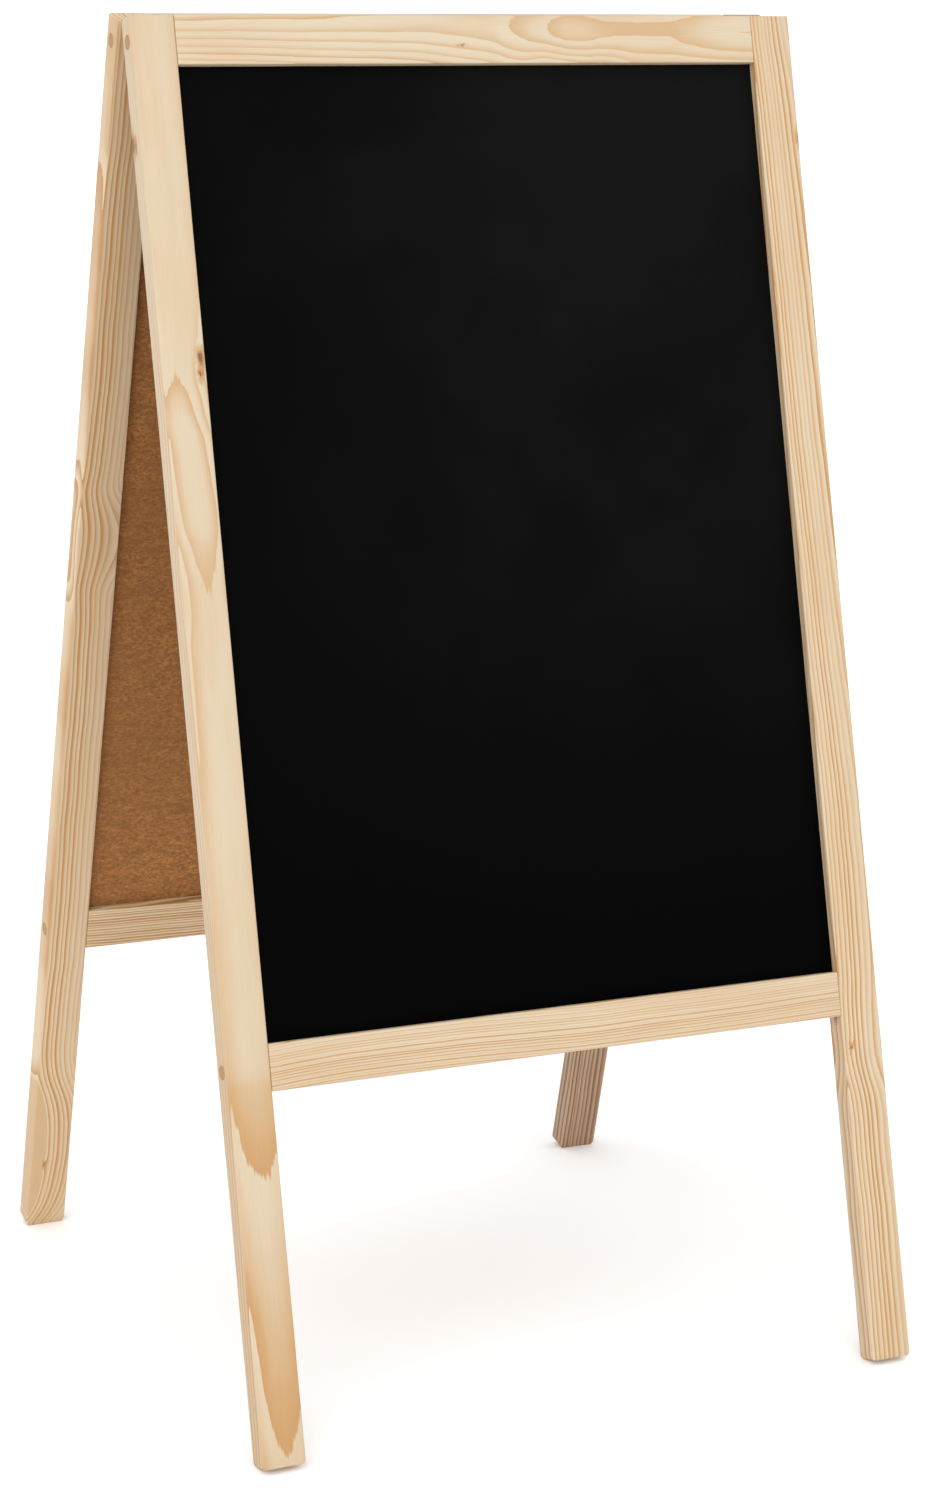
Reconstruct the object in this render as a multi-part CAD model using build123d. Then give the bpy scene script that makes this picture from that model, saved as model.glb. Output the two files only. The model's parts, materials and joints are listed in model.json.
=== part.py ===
from build123d import *
import math
import os

# Wooden sandwich board: two identical frames, hinged together along their top ends.
# Millimetres. X runs across the board, Y from the front frame to the rear one, Z up.
# The origin is on the ground, midway between the four feet.

# ---- driving dimensions ------------------------------------------------------------------

# frame
board_width = 610.0          # over the outer faces of the two stiles
leg_length = 1180.0          # stile, from its top end to its foot
stile_width = 38.0
lath_thickness = 22.0        # stiles and rails
top_rail_width = 41.0
bottom_rail_width = 39.0
bottom_rail_drop = 838.0     # from the top ends to the bottom rail's upper edge
lean = 14.35                 # degrees, each frame from upright when the board stands open
arris_radius = 1.5           # all edges of the stiles and rails but the next
foot_radius = 4.0            # lower corners of the stiles' broad faces

# chalkboard panel and its groove
panel_thickness = 4.0
groove_play = 0.1            # each side of the panel
groove_depth = 7.0
groove_end_play = 0.5        # between the panel's edge and the groove's bottom
groove_blade_radius = 50.0   # the saw that cuts the stiles' grooves leaves rounded ends
groove_runout = 8.0          # how far a stile's groove shows past the bottom rail

# dowels
dowel_diameter = 12.0
dowel_length = 80.0
dowel_clearance = 0.05       # radial
dowel_end_gap = 1.0          # at the bottom of the blind hole in the rail
dowel_chamfer = 0.5

# hinges
hinge_length = 75.0
hinge_inset = 110.0          # from the board's side to the nearer end of a hinge
knuckle_count = 5            # odd: the front leaf carries one more than the rear leaf
knuckle_gap = 0.2            # between neighbouring knuckles
knuckle_wall = 1.75
knuckle_to_wood = 0.3        # between a barrel and the frames' inner faces
pin_radius = 2.5
pin_clearance = 0.05         # radial
pin_head_lip = 1.1           # radial
pin_head_height = 1.2
pin_head_rounding = 0.7
leaf_thickness = 2.0
leaf_drop = 31.0             # from the pin's axis to the leaf's lower edge
leaf_corner_radius = 4.0
leaf_relief = 0.6            # clear space between a leaf and the other leaf's knuckles

# stop inside each hinge: a tooth on one knuckle travels in a notch in the next
stop_tooth_angle = 50.0
stop_tooth_length = 2.5
stop_tooth_play = 0.3        # degrees, at each end of the travel
stop_tooth_end_gap = 0.2

# hinge screws
screw_radius = 2.0
screw_length = 16.0
screw_head_radius = 3.9
screw_tip_length = 4.0
screw_tip_radius = 0.3
screw_clearance = 0.05       # radial
screw_hole_extra = 1.0       # the pilot hole is this much deeper than the screw
screw_edge_distance = 11.0   # from the hinge's ends to the outer screws
screw_rows = (13.0, 23.0)    # below the pin's axis: middle screw, outer screws
cross_slot_width = 1.0
cross_slot_length = 4.4
cross_slot_depth = 1.3

# ---- sizes that follow -------------------------------------------------------------------

rail_length = board_width - 2 * stile_width
groove_width = panel_thickness + 2 * groove_play
panel_reach = groove_depth - groove_end_play
knuckle_pitch = hinge_length / knuckle_count
knuckle_radius = pin_radius + pin_clearance + knuckle_wall
pin_to_wood = knuckle_radius + knuckle_to_wood
pin_head_radius = pin_radius + pin_head_lip
screw_head_height = screw_head_radius - screw_radius
travel = 2 * lean

# A frame is made upright, its inner face towards +Y, with the pin's axis on the X axis and
# level with its top end.
inner_face = -pin_to_wood
outer_face = inner_face - lath_thickness
mid_plane = (inner_face + outer_face) / 2
top_end = 0.0
foot_end = top_end - leg_length

# The leaning foot stands on the rounded arris of its inner face.
lean_rad = math.radians(lean)
arris_y = inner_face - arris_radius
arris_z = foot_end + arris_radius
axis_height = arris_radius + arris_y * math.sin(lean_rad) - arris_z * math.cos(lean_rad)


past_face = 1.0              # how far a cutting shape reaches past the face it opens

# ---- helpers -----------------------------------------------------------------------------

def block(x0, x1, y0, y1, z0, z1):
    """A box between two corners."""
    place = Pos((x0 + x1) / 2, (y0 + y1) / 2, (z0 + z1) / 2)
    return place * Box(x1 - x0, y1 - y0, z1 - z0)


def rod_along_x(radius, x0, x1, y=0.0, z=0.0):
    """A round bar along X."""
    return Pos((x0 + x1) / 2, y, z) * Rot(0, 90, 0) * Cylinder(radius, x1 - x0)


def stand_front(shape):
    """Lean an upright frame piece forward at its foot and lift it onto the ground."""
    return Pos(0, 0, axis_height) * Rot(-lean, 0, 0) * shape


def stand_rear(shape):
    """The rear frame's copy of an upright frame piece."""
    return Pos(0, 0, axis_height) * Rot(lean, 0, 0) * turn_round(shape)


def turn_round(shape):
    """Face an upright piece the other way about the Z axis, as the rear frame does."""
    return Rot(0, 0, 180) * shape


# ---- wooden frame ------------------------------------------------------------------------

def rail_middle_heights():
    """Heights of the two rails' centre lines, where the dowels go."""
    top = top_end - top_rail_width / 2
    bottom = top_end - bottom_rail_drop - bottom_rail_width / 2
    return top, bottom


def dowel(side, height):
    """One dowel, flush with the stile's outer side face; side is -1 left, +1 right."""
    outer = side * board_width / 2
    inner = outer - side * dowel_length
    body = rod_along_x(dowel_diameter / 2, min(outer, inner), max(outer, inner), mid_plane, height)
    return chamfer(body.edges().filter_by(GeomType.CIRCLE), dowel_chamfer)


def dowel_hole(side, height):
    """The hole that a dowel goes in, through the stile and blind in the rail."""
    outer = side * (board_width / 2 + past_face)
    inner = side * (board_width / 2 - dowel_length - dowel_end_gap)
    radius = dowel_diameter / 2 + dowel_clearance
    return rod_along_x(radius, min(outer, inner), max(outer, inner), mid_plane, height)


def stile_groove(side):
    """The panel groove in a stile, with the rounded ends that a saw blade leaves."""
    face = side * (board_width / 2 - stile_width)
    open_side = face - side * past_face
    bottom = face + side * groove_depth
    arc_reach = math.sqrt(groove_blade_radius**2 - (groove_blade_radius - groove_depth)**2)
    low = top_end - bottom_rail_drop - bottom_rail_width - groove_runout + arc_reach
    high = top_end - top_rail_width + groove_depth
    y0 = mid_plane - groove_width / 2
    y1 = mid_plane + groove_width / 2
    cut = block(min(open_side, bottom), max(open_side, bottom), y0, y1, low, high)
    blade = Rot(90, 0, 0) * Cylinder(groove_blade_radius, groove_width)
    for z in (low, high):
        cut = cut + Pos(bottom - side * groove_blade_radius, mid_plane, z) * blade
    return cut


def stile(side):
    """One leg; side is -1 for the left one and +1 for the right one."""
    outer = side * board_width / 2
    inner = outer - side * stile_width
    body = block(min(outer, inner), max(outer, inner), outer_face, inner_face, foot_end, top_end)
    foot_corners = body.edges().filter_by(Axis.Y).group_by(Axis.Z)[0]
    body = fillet(foot_corners, foot_radius)
    broad_faces = body.faces().filter_by(Axis.Y)
    arrises = broad_faces[0].edges() + broad_faces[1].edges()
    arrises = arrises + body.edges().filter_by(Axis.Y).group_by(Axis.Z)[-1]
    body = fillet(arrises, arris_radius)
    body = body - stile_groove(side)
    for height in rail_middle_heights():
        body = body - dowel_hole(side, height)
    return body


def rail(upper, width, groove_below):
    """A rail from its upper edge's height; its groove faces the panel."""
    half = rail_length / 2
    lower = upper - width
    body = block(-half, half, outer_face, inner_face, lower, upper)
    body = fillet(body.edges(), arris_radius)
    z0 = lower - past_face if groove_below else upper - groove_depth
    z1 = lower + groove_depth if groove_below else upper + past_face
    y0 = mid_plane - groove_width / 2
    y1 = mid_plane + groove_width / 2
    body = body - block(-half, half, y0, y1, z0, z1)
    for side in (-1, 1):
        body = body - dowel_hole(side, (upper + lower) / 2)
    return body


def top_rail():
    """The upper rail, with pilot holes for the hinge screws."""
    body = rail(top_end, top_rail_width, True)
    for hinge_x in hinge_centres():
        for x, z in screw_places():
            body = body - screw_hole(hinge_x + x, z)
    return body


def bottom_rail():
    """The lower rail."""
    return rail(top_end - bottom_rail_drop, bottom_rail_width, False)


def panel():
    """The chalkboard, held in the grooves of both stiles and both rails."""
    half = rail_length / 2 + panel_reach
    low = top_end - bottom_rail_drop - panel_reach
    high = top_end - top_rail_width + panel_reach
    y0 = mid_plane - panel_thickness / 2
    y1 = mid_plane + panel_thickness / 2
    return block(-half, half, y0, y1, low, high)


# ---- hinges ------------------------------------------------------------------------------

def hinge_centres():
    """X of the left and the right hinge's middle."""
    x = board_width / 2 - hinge_inset - hinge_length / 2
    return -x, x


def screw_places():
    """Screw centres on a leaf: X from the hinge's middle and height."""
    outer_x = hinge_length / 2 - screw_edge_distance
    middle_z, outer_z = -screw_rows[0], -screw_rows[1]
    return ((-outer_x, outer_z), (0.0, middle_z), (outer_x, outer_z))


def leaf_surface():
    """Y of the leaf's face away from the wood."""
    return inner_face + leaf_thickness


def screw(x, z):
    """A countersunk wood screw driven through a leaf into the rail, its head flush."""
    head = Cone(screw_radius, screw_head_radius, screw_head_height)
    head = Pos(0, 0, -screw_head_height / 2) * head
    shank_length = screw_length - screw_head_height - screw_tip_length
    shank = Pos(0, 0, -screw_head_height - shank_length / 2) * Cylinder(screw_radius, shank_length)
    tip = Cone(screw_tip_radius, screw_radius, screw_tip_length)
    tip = Pos(0, 0, -screw_length + screw_tip_length / 2) * tip
    slot = Box(cross_slot_length, cross_slot_width, cross_slot_depth * 2)
    body = head + shank + tip - slot - Rot(0, 0, 90) * slot
    return Pos(x, leaf_surface(), z) * Rot(-90, 0, 0) * body


def screw_hole(x, z):
    """The pilot hole for a screw in the rail."""
    depth = screw_length + screw_hole_extra
    hole = Pos(0, 0, -depth / 2) * Cylinder(screw_radius + screw_clearance, depth)
    return Pos(x, leaf_surface(), z) * Rot(-90, 0, 0) * hole


def countersink(x, z):
    """The cut that a screw needs in a leaf."""
    gap = screw_clearance
    cone = Cone(screw_radius + gap, screw_head_radius + gap, screw_head_height)
    cone = Pos(0, 0, -screw_head_height / 2) * cone
    through = Cylinder(screw_radius + gap, 3 * leaf_thickness)
    return Pos(x, leaf_surface(), z) * Rot(-90, 0, 0) * (cone + through)


def knuckle_span(index):
    """X from one end of the hinge's middle to the other, for one knuckle."""
    start = -hinge_length / 2 + index * knuckle_pitch
    first = start + (knuckle_gap / 2 if index > 0 else 0)
    last = start + knuckle_pitch - (knuckle_gap / 2 if index < knuckle_count - 1 else 0)
    return first, last


def leaf(own_knuckles):
    """A leaf on the front frame's side, with the knuckles that it carries."""
    surface = leaf_surface()
    half = hinge_length / 2
    plate = block(-half, half, inner_face, surface, -leaf_drop, 0)
    lower_corners = plate.edges().filter_by(Axis.Y).group_by(Axis.Z)[0]
    plate = fillet(lower_corners, leaf_corner_radius)
    clear = knuckle_radius + leaf_relief
    for index in range(knuckle_count):
        first, last = knuckle_span(index)
        if index in own_knuckles:
            plate = plate + rod_along_x(knuckle_radius, first, last)
        else:
            x0 = first - knuckle_gap
            x1 = last + knuckle_gap
            y0 = inner_face - past_face
            y1 = surface + past_face
            plate = plate - block(x0, x1, y0, y1, -clear, past_face)
    bore = pin_radius + pin_clearance
    plate = plate - rod_along_x(bore, -half - past_face, half + past_face)
    for x, z in screw_places():
        plate = plate - countersink(x, z)
    return plate


def barrel_sector(start, sweep, x0, x1, inner, outer):
    """Part of a ring about the pin's axis: angles in degrees, from +Y towards +Z."""
    ring = rod_along_x(outer, x0, x1) - rod_along_x(inner, x0 - past_face, x1 + past_face)
    reach = 3 * outer
    angles = [math.radians(start + sweep * share) for share in (0, 0.5, 1)]
    points = [(0.0, 0.0)] + [(reach * math.cos(a), reach * math.sin(a)) for a in angles]
    wedge_face = make_face(Polyline([*points, points[0]]))
    wedge = extrude(Plane.YZ.offset(x0) * wedge_face, x1 - x0)
    return ring & wedge


def front_leaf():
    """The leaf on the front frame, with the stop's tooth on its first knuckle."""
    body = leaf(range(0, knuckle_count, 2))
    tooth_start = 90 - stop_tooth_angle / 2
    root = knuckle_span(0)[1]
    tip = root + knuckle_gap + stop_tooth_length
    inner = pin_radius + pin_clearance
    x0 = root - past_face
    return body + barrel_sector(tooth_start, stop_tooth_angle, x0, tip, inner, knuckle_radius)


def rear_leaf():
    """The leaf on the rear frame, upright on its own side, notched for the tooth."""
    # In the rear leaf's own upright frame the tooth stands straight up when the board is
    # folded, and further round when it is open. X runs the other way there.
    body = leaf(range(1, knuckle_count, 2))
    notch_start = 90 - stop_tooth_angle / 2 - stop_tooth_play
    notch_sweep = stop_tooth_angle + travel + 2 * stop_tooth_play
    mouth = -knuckle_span(1)[0]
    x0 = mouth - stop_tooth_length - stop_tooth_end_gap
    outer = knuckle_radius + past_face
    return body - barrel_sector(notch_start, notch_sweep, x0, mouth + past_face, pin_radius, outer)


def pin():
    """The hinge pin, with a low head at each end."""
    half = hinge_length / 2
    body = rod_along_x(pin_radius, -half, half)
    for side in (-1, 1):
        x0 = side * half
        x1 = side * (half + pin_head_height)
        head = rod_along_x(pin_head_radius, min(x0, x1), max(x0, x1))
        rim = head.faces().sort_by(Axis.X)[0 if side < 0 else -1].edges()
        body = body + fillet(rim, pin_head_rounding)
    return body


# ---- all nodes ---------------------------------------------------------------------------

def frame_nodes(frame, stand):
    """Nodes of one frame's joinery."""
    top_height, bottom_height = rail_middle_heights()
    # The rear frame is the front one turned round, so its left stile is the other one.
    left = -1 if frame == "front" else 1
    return {
        frame + "_left_stile": stand(stile(left)),
        frame + "_right_stile": stand(stile(-left)),
        frame + "_top_rail": stand(top_rail()),
        frame + "_bottom_rail": stand(bottom_rail()),
        frame + "_chalkboard": stand(panel()),
        frame + "_top_dowels": [stand(dowel(side, top_height)) for side in (-1, 1)],
        frame + "_bottom_dowels": [stand(dowel(side, bottom_height)) for side in (-1, 1)],
    }


def hinge_nodes(name, x):
    """Nodes of the hinge whose middle is at x."""
    here = Pos(x, 0, 0)
    opposite = Pos(-x, 0, 0)
    return {
        name + "_hinge_front_leaf": stand_front(here * front_leaf()),
        name + "_hinge_rear_leaf": stand_rear(opposite * rear_leaf()),
        name + "_hinge_pin": stand_front(here * pin()),
        name + "_hinge_front_screws": [stand_front(screw(x + dx, z)) for dx, z in screw_places()],
        name + "_hinge_rear_screws": [stand_rear(screw(-x + dx, z)) for dx, z in screw_places()],
    }


def main():
    """Build every node and write one STEP file for each."""
    nodes = {}
    nodes.update(frame_nodes("front", stand_front))
    nodes.update(frame_nodes("rear", stand_rear))
    for name, x in zip(("left", "right"), hinge_centres()):
        nodes.update(hinge_nodes(name, x))
    os.makedirs("parts", exist_ok=True)
    for name, shape in nodes.items():
        if isinstance(shape, list):
            shape = Compound(children=shape)
        export_step(shape, f"parts/{name}.step")
    print(f"{len(nodes)} nodes, hinge axis {axis_height:.4f} mm above the ground")


if __name__ == "__main__":
    main()
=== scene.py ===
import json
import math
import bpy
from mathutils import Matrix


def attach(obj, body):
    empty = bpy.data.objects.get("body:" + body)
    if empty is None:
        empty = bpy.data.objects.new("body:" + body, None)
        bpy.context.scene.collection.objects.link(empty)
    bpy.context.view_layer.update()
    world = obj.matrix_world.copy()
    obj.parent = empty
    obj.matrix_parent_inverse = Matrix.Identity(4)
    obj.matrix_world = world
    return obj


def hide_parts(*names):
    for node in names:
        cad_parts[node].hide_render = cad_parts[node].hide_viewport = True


bl_info = {
    "name": "Sandwich board",
    "version": (1, 0, 0),
    "blender": (4, 5, 0),
    "location": "3D View > Sidebar > Sandwich board",
    "description": "Pine laths, chalkboard panels, dowels and hinges of a folding pavement board",
    "category": "Add Mesh",
}

import bmesh
import bpy
from bpy.props import FloatProperty, FloatVectorProperty, IntProperty, PointerProperty
from mathutils import Matrix, Vector

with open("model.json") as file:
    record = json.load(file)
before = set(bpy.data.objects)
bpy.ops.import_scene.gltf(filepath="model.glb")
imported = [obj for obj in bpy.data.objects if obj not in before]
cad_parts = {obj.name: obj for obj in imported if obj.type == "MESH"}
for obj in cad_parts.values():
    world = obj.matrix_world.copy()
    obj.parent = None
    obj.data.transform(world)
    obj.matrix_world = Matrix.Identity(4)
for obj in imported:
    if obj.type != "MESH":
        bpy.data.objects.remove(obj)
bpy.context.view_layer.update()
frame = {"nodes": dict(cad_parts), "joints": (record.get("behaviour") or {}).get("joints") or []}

FOLD = frame["joints"][0]
HINGE_LINE = Vector(FOLD["pos_m"])
LEAN = math.radians(FOLD["range_deg"][1] / 2)
FRAMES = ("front", "rear")
MM = 0.001
LATH_HALF = 11 * MM  # half of a lath's thickness
SPECK = 0.02 * MM  # the largest crumb that a cut leaves
PAST = 1 * MM  # how far a cutter reaches beyond the face that it opens
SANDING_GRAIN = 0.03  # size of the hollows that sanding leaves
STILE_SANDING = 0.8  # share of the wear that the sanding of a stile takes
RAIL_SANDING = 0.6
BLADE_SIDES = 160
IN_LINE = 0.999  # cosine above which two directions count as one
SHARP = math.radians(35)  # an edge bent more than this is shaded sharp


# ---- settings ----------------------------------------------------------------------------

def length(name, text, value_mm):
    """A size that a user can change."""
    return FloatProperty(name=name, description=text, default=value_mm * MM, unit="LENGTH", precision=4)


def angle(name, text, degrees):
    """An angle that a user can change."""
    return FloatProperty(name=name, description=text, default=math.radians(degrees), subtype="ANGLE")


def brightness(name, text, value):
    """A light's strength that a user can change."""
    return FloatProperty(name=name, description=text, default=value)


def colour(name, text, value):
    """A colour that a user can change, scene linear."""
    return FloatVectorProperty(
        name=name, description=text, default=value, subtype="COLOR", size=3, min=0.0, max=1.0
    )


class LathSettings(bpy.types.PropertyGroup):
    """Shaping of the stiles and rails."""

    arris: length("Arris", "Rounding of the long edges", 1.5)
    rail_end: length("Rail end", "Rounding of the edges round a rail's ends", 0.8)
    foot: length("Foot corner", "Rounding of a foot's corners, seen from the front", 4.0)
    groove_gap: length("Groove gap", "Space between a panel's face and its groove", 0.15)
    groove_depth: length("Groove depth", "How deep the panel groove is", 7.0)
    saw_radius: length("Saw radius", "Radius of the blade that cut the stiles' grooves", 50.0)
    runout: length("Groove runout", "How far a groove shows below the bottom rail", 8.0)
    wear: length("Wear", "Unevenness of the sanded surface", 0.25)
    stations: IntProperty(name="Stations", description="Cuts along a lath", default=48, min=4)


class PanelSettings(bpy.types.PropertyGroup):
    """Shaping of the chalkboard panels."""

    edge: length("Edge", "Rounding of a panel's edges", 0.4)
    cells: IntProperty(name="Cells", description="Divisions along a side", default=24, min=2)


class DowelSettings(bpy.types.PropertyGroup):
    """Shaping of the dowels."""

    gap: length("Gap", "Space round a dowel in its hole", 0.12)
    sunk: length("Sunk", "How far a dowel's end lies below the stile's side", 0.1)
    edge: length("Edge", "Rounding of a dowel's ends", 0.4)
    sides: IntProperty(name="Sides", description="Sides of a dowel", default=48, min=12)


class FinishSettings(bpy.types.PropertyGroup):
    """Colours of the finishes."""

    sapwood: colour("Sapwood", "Pale early wood", (0.498, 0.419, 0.303))
    latewood: colour("Late wood", "Tan late wood", (0.425, 0.258, 0.118))
    ring_edge: colour("Ring edge", "Dark outer edge of a year", (0.375, 0.178, 0.048))
    heartwood: colour("Heartwood", "Reddish heartwood", (0.310, 0.140, 0.066))
    knot: colour("Knot", "Middle of a knot", (0.170, 0.066, 0.021))
    dowel: colour("Dowel", "End grain of a dowel", (0.325, 0.180, 0.070))
    chalk_paint: colour("Chalk paint", "Matt black paint", (0.0005, 0.0005, 0.0005))
    hardboard: colour("Hardboard", "Bare hardboard", (0.285, 0.121, 0.035))
    zinc: colour("Zinc", "Plated steel", (0.330, 0.325, 0.305))


class StageSettings(bpy.types.PropertyGroup):
    """Floor, lights and camera."""

    floor_radius: length("Floor radius", "Radius of the floor", 60000.0)
    floor: colour("Floor", "Colour of the floor", (0.975, 0.975, 0.975))
    sky: brightness("Sky", "Strength of the light from all round", 1.15)
    key: brightness("Key", "Strength of the soft key light", 0.5)
    key_angle: angle("Key angle", "Softness of the key light", 40)
    key_turn: angle("Key turn", "Key light's place round the board", -44)
    key_height: angle("Key height", "Key light's height above the horizon", 40)
    fill: brightness("Fill", "Strength of the light from beside the camera", 1.5)
    fill_angle: angle("Fill angle", "Softness of the fill light", 60)
    fill_height: angle("Fill height", "Fill light's height above the horizon", 12)
    camera_place: FloatVectorProperty(
        name="Camera place",
        description="Where the camera stands",
        default=(-1.283, -2.781, 1.221),
        subtype="XYZ",
    )
    camera_pan: angle("Pan", "Camera's turn about the vertical", -25.05)
    camera_tilt: angle("Tilt", "Camera's tilt from the horizon", -13.11)
    camera_roll: angle("Roll", "Camera's roll about its view", 0.79)
    camera_lens: FloatProperty(name="Lens", description="Focal length", default=84.9, unit="CAMERA")


# ---- places taken from the frame ---------------------------------------------------------

def to_upright(which):
    """Turns the leaning front or rear frame upright, its hinge line on the X axis."""
    turn = LEAN if which == "front" else -LEAN
    return Matrix.Rotation(turn, 4, "X") @ Matrix.Translation(-HINGE_LINE)


def upright_box(node, which):
    """Lowest and highest corner of a CAD node, with its frame upright."""
    turn = to_upright(which)
    return corners_of([turn @ v.co for v in frame["nodes"][node].data.vertices])


def corners_of(points):
    """Lowest and highest corner of some points."""
    low = Vector([min(p[i] for p in points) for i in range(3)])
    high = Vector([max(p[i] for p in points) for i in range(3)])
    return low, high


def body_of(which):
    """The CAD body that a frame's pieces ride on."""
    return which + "_frame"


# ---- modelling helpers -------------------------------------------------------------------

def only(piece):
    """Makes one object the only one selected, and active."""
    bpy.ops.object.select_all(action="DESELECT")
    piece.select_set(True)
    bpy.context.view_layer.objects.active = piece


def box(name, low, high):
    """Adds a box between two corners."""
    bpy.ops.object.select_all(action="DESELECT")
    bpy.ops.mesh.primitive_cube_add(size=1.0, location=(low + high) / 2)
    piece = bpy.context.active_object
    piece.name = name
    piece.data.name = name
    bpy.ops.transform.resize(value=high - low)
    bpy.ops.object.transform_apply(location=True, rotation=True, scale=True)
    return piece


def rod(name, radius, one_x, other_x, y, z, sides):
    """Adds a round bar along X between two ends."""
    bpy.ops.object.select_all(action="DESELECT")
    bpy.ops.mesh.primitive_cylinder_add(
        vertices=sides,
        radius=radius,
        depth=abs(other_x - one_x),
        location=((one_x + other_x) / 2, y, z),
        rotation=(0.0, math.pi / 2, 0.0),
    )
    piece = bpy.context.active_object
    piece.name = name
    piece.data.name = name
    bpy.ops.object.transform_apply(location=True, rotation=True, scale=True)
    return piece


def pick_edges(piece, wanted):
    """Enters edit mode with only the edges selected for which wanted(edge) is true."""
    only(piece)
    bpy.ops.object.mode_set(mode="EDIT")
    bpy.ops.mesh.select_mode(type="EDGE")
    bpy.ops.mesh.select_all(action="DESELECT")
    mesh = bmesh.from_edit_mesh(piece.data)
    mesh.edges.ensure_lookup_table()
    for edge in mesh.edges:
        if wanted(edge):
            edge.select = True
    mesh.select_flush(False)
    bmesh.update_edit_mesh(piece.data)


def leave_edit():
    """Goes back to object mode."""
    bpy.ops.object.mode_set(mode="OBJECT")


def round_edges(piece, wanted, radius, segments):
    """Rounds the wanted edges."""
    pick_edges(piece, wanted)
    bpy.ops.mesh.bevel(offset=radius, segments=segments, profile=0.5, affect="EDGES", clamp_overlap=True)
    leave_edit()


def cross_cuts(piece, axis, low, high, count):
    """Divides a piece into even stations along an axis, so that its faces can be shaped."""
    only(piece)
    bpy.ops.object.mode_set(mode="EDIT")
    normal = Vector((0.0, 0.0, 0.0))
    normal[axis] = 1.0
    for step in range(1, count):
        bpy.ops.mesh.select_all(action="SELECT")
        place = Vector((0.0, 0.0, 0.0))
        place[axis] = low + (high - low) * step / count
        bpy.ops.mesh.bisect(plane_co=place, plane_no=normal)
    leave_edit()


def cut(piece, cutter):
    """Takes the cutter's shape out of a piece, and removes the cutter."""
    only(piece)
    bpy.ops.object.modifier_add(type="BOOLEAN")
    modifier = piece.modifiers[-1]
    modifier.operation = "DIFFERENCE"
    modifier.solver = "EXACT"
    modifier.object = cutter
    bpy.ops.object.modifier_apply(modifier=modifier.name)
    bpy.data.objects.remove(cutter)


def tidy_cuts(piece):
    """Merges the specks that cuts leave where two of them only just meet."""
    only(piece)
    bpy.ops.object.mode_set(mode="EDIT")
    bpy.ops.mesh.select_all(action="SELECT")
    bpy.ops.mesh.remove_doubles(threshold=SPECK)
    bpy.ops.mesh.dissolve_degenerate(threshold=SPECK)
    leave_edit()


def sand(piece, depth):
    """Makes a planed surface slightly uneven, as hand sanding does: it only takes wood away."""
    texture = bpy.data.textures.get("sanding") or bpy.data.textures.new("sanding", "CLOUDS")
    texture.noise_scale = SANDING_GRAIN
    only(piece)
    bpy.ops.object.modifier_add(type="DISPLACE")
    modifier = piece.modifiers[-1]
    modifier.texture = texture
    modifier.texture_coords = "LOCAL"
    modifier.direction = "NORMAL"
    modifier.strength = depth
    modifier.mid_level = 1.0
    bpy.ops.object.modifier_apply(modifier=modifier.name)


def smooth(piece):
    """Shades a piece smooth, except across its sharp edges."""
    only(piece)
    bpy.ops.object.shade_smooth_by_angle(angle=SHARP)


def stand(piece, which):
    """Leans a piece made upright into its place, and settles it in its mesh."""
    only(piece)
    piece.matrix_world = to_upright(which).inverted()
    bpy.ops.object.transform_apply(location=True, rotation=True, scale=True)


def settle(piece, which, node):
    """Hands a finished piece over to the frame in place of its CAD node."""
    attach(piece, body_of(which))
    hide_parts(node)


def along(edge, axis):
    """True if an edge runs along an axis."""
    run = (edge.verts[1].co - edge.verts[0].co).normalized()
    return abs(run[axis]) > IN_LINE


def middle(edge):
    """The middle of an edge."""
    return (edge.verts[0].co + edge.verts[1].co) / 2


# ---- material helpers --------------------------------------------------------------------

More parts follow.
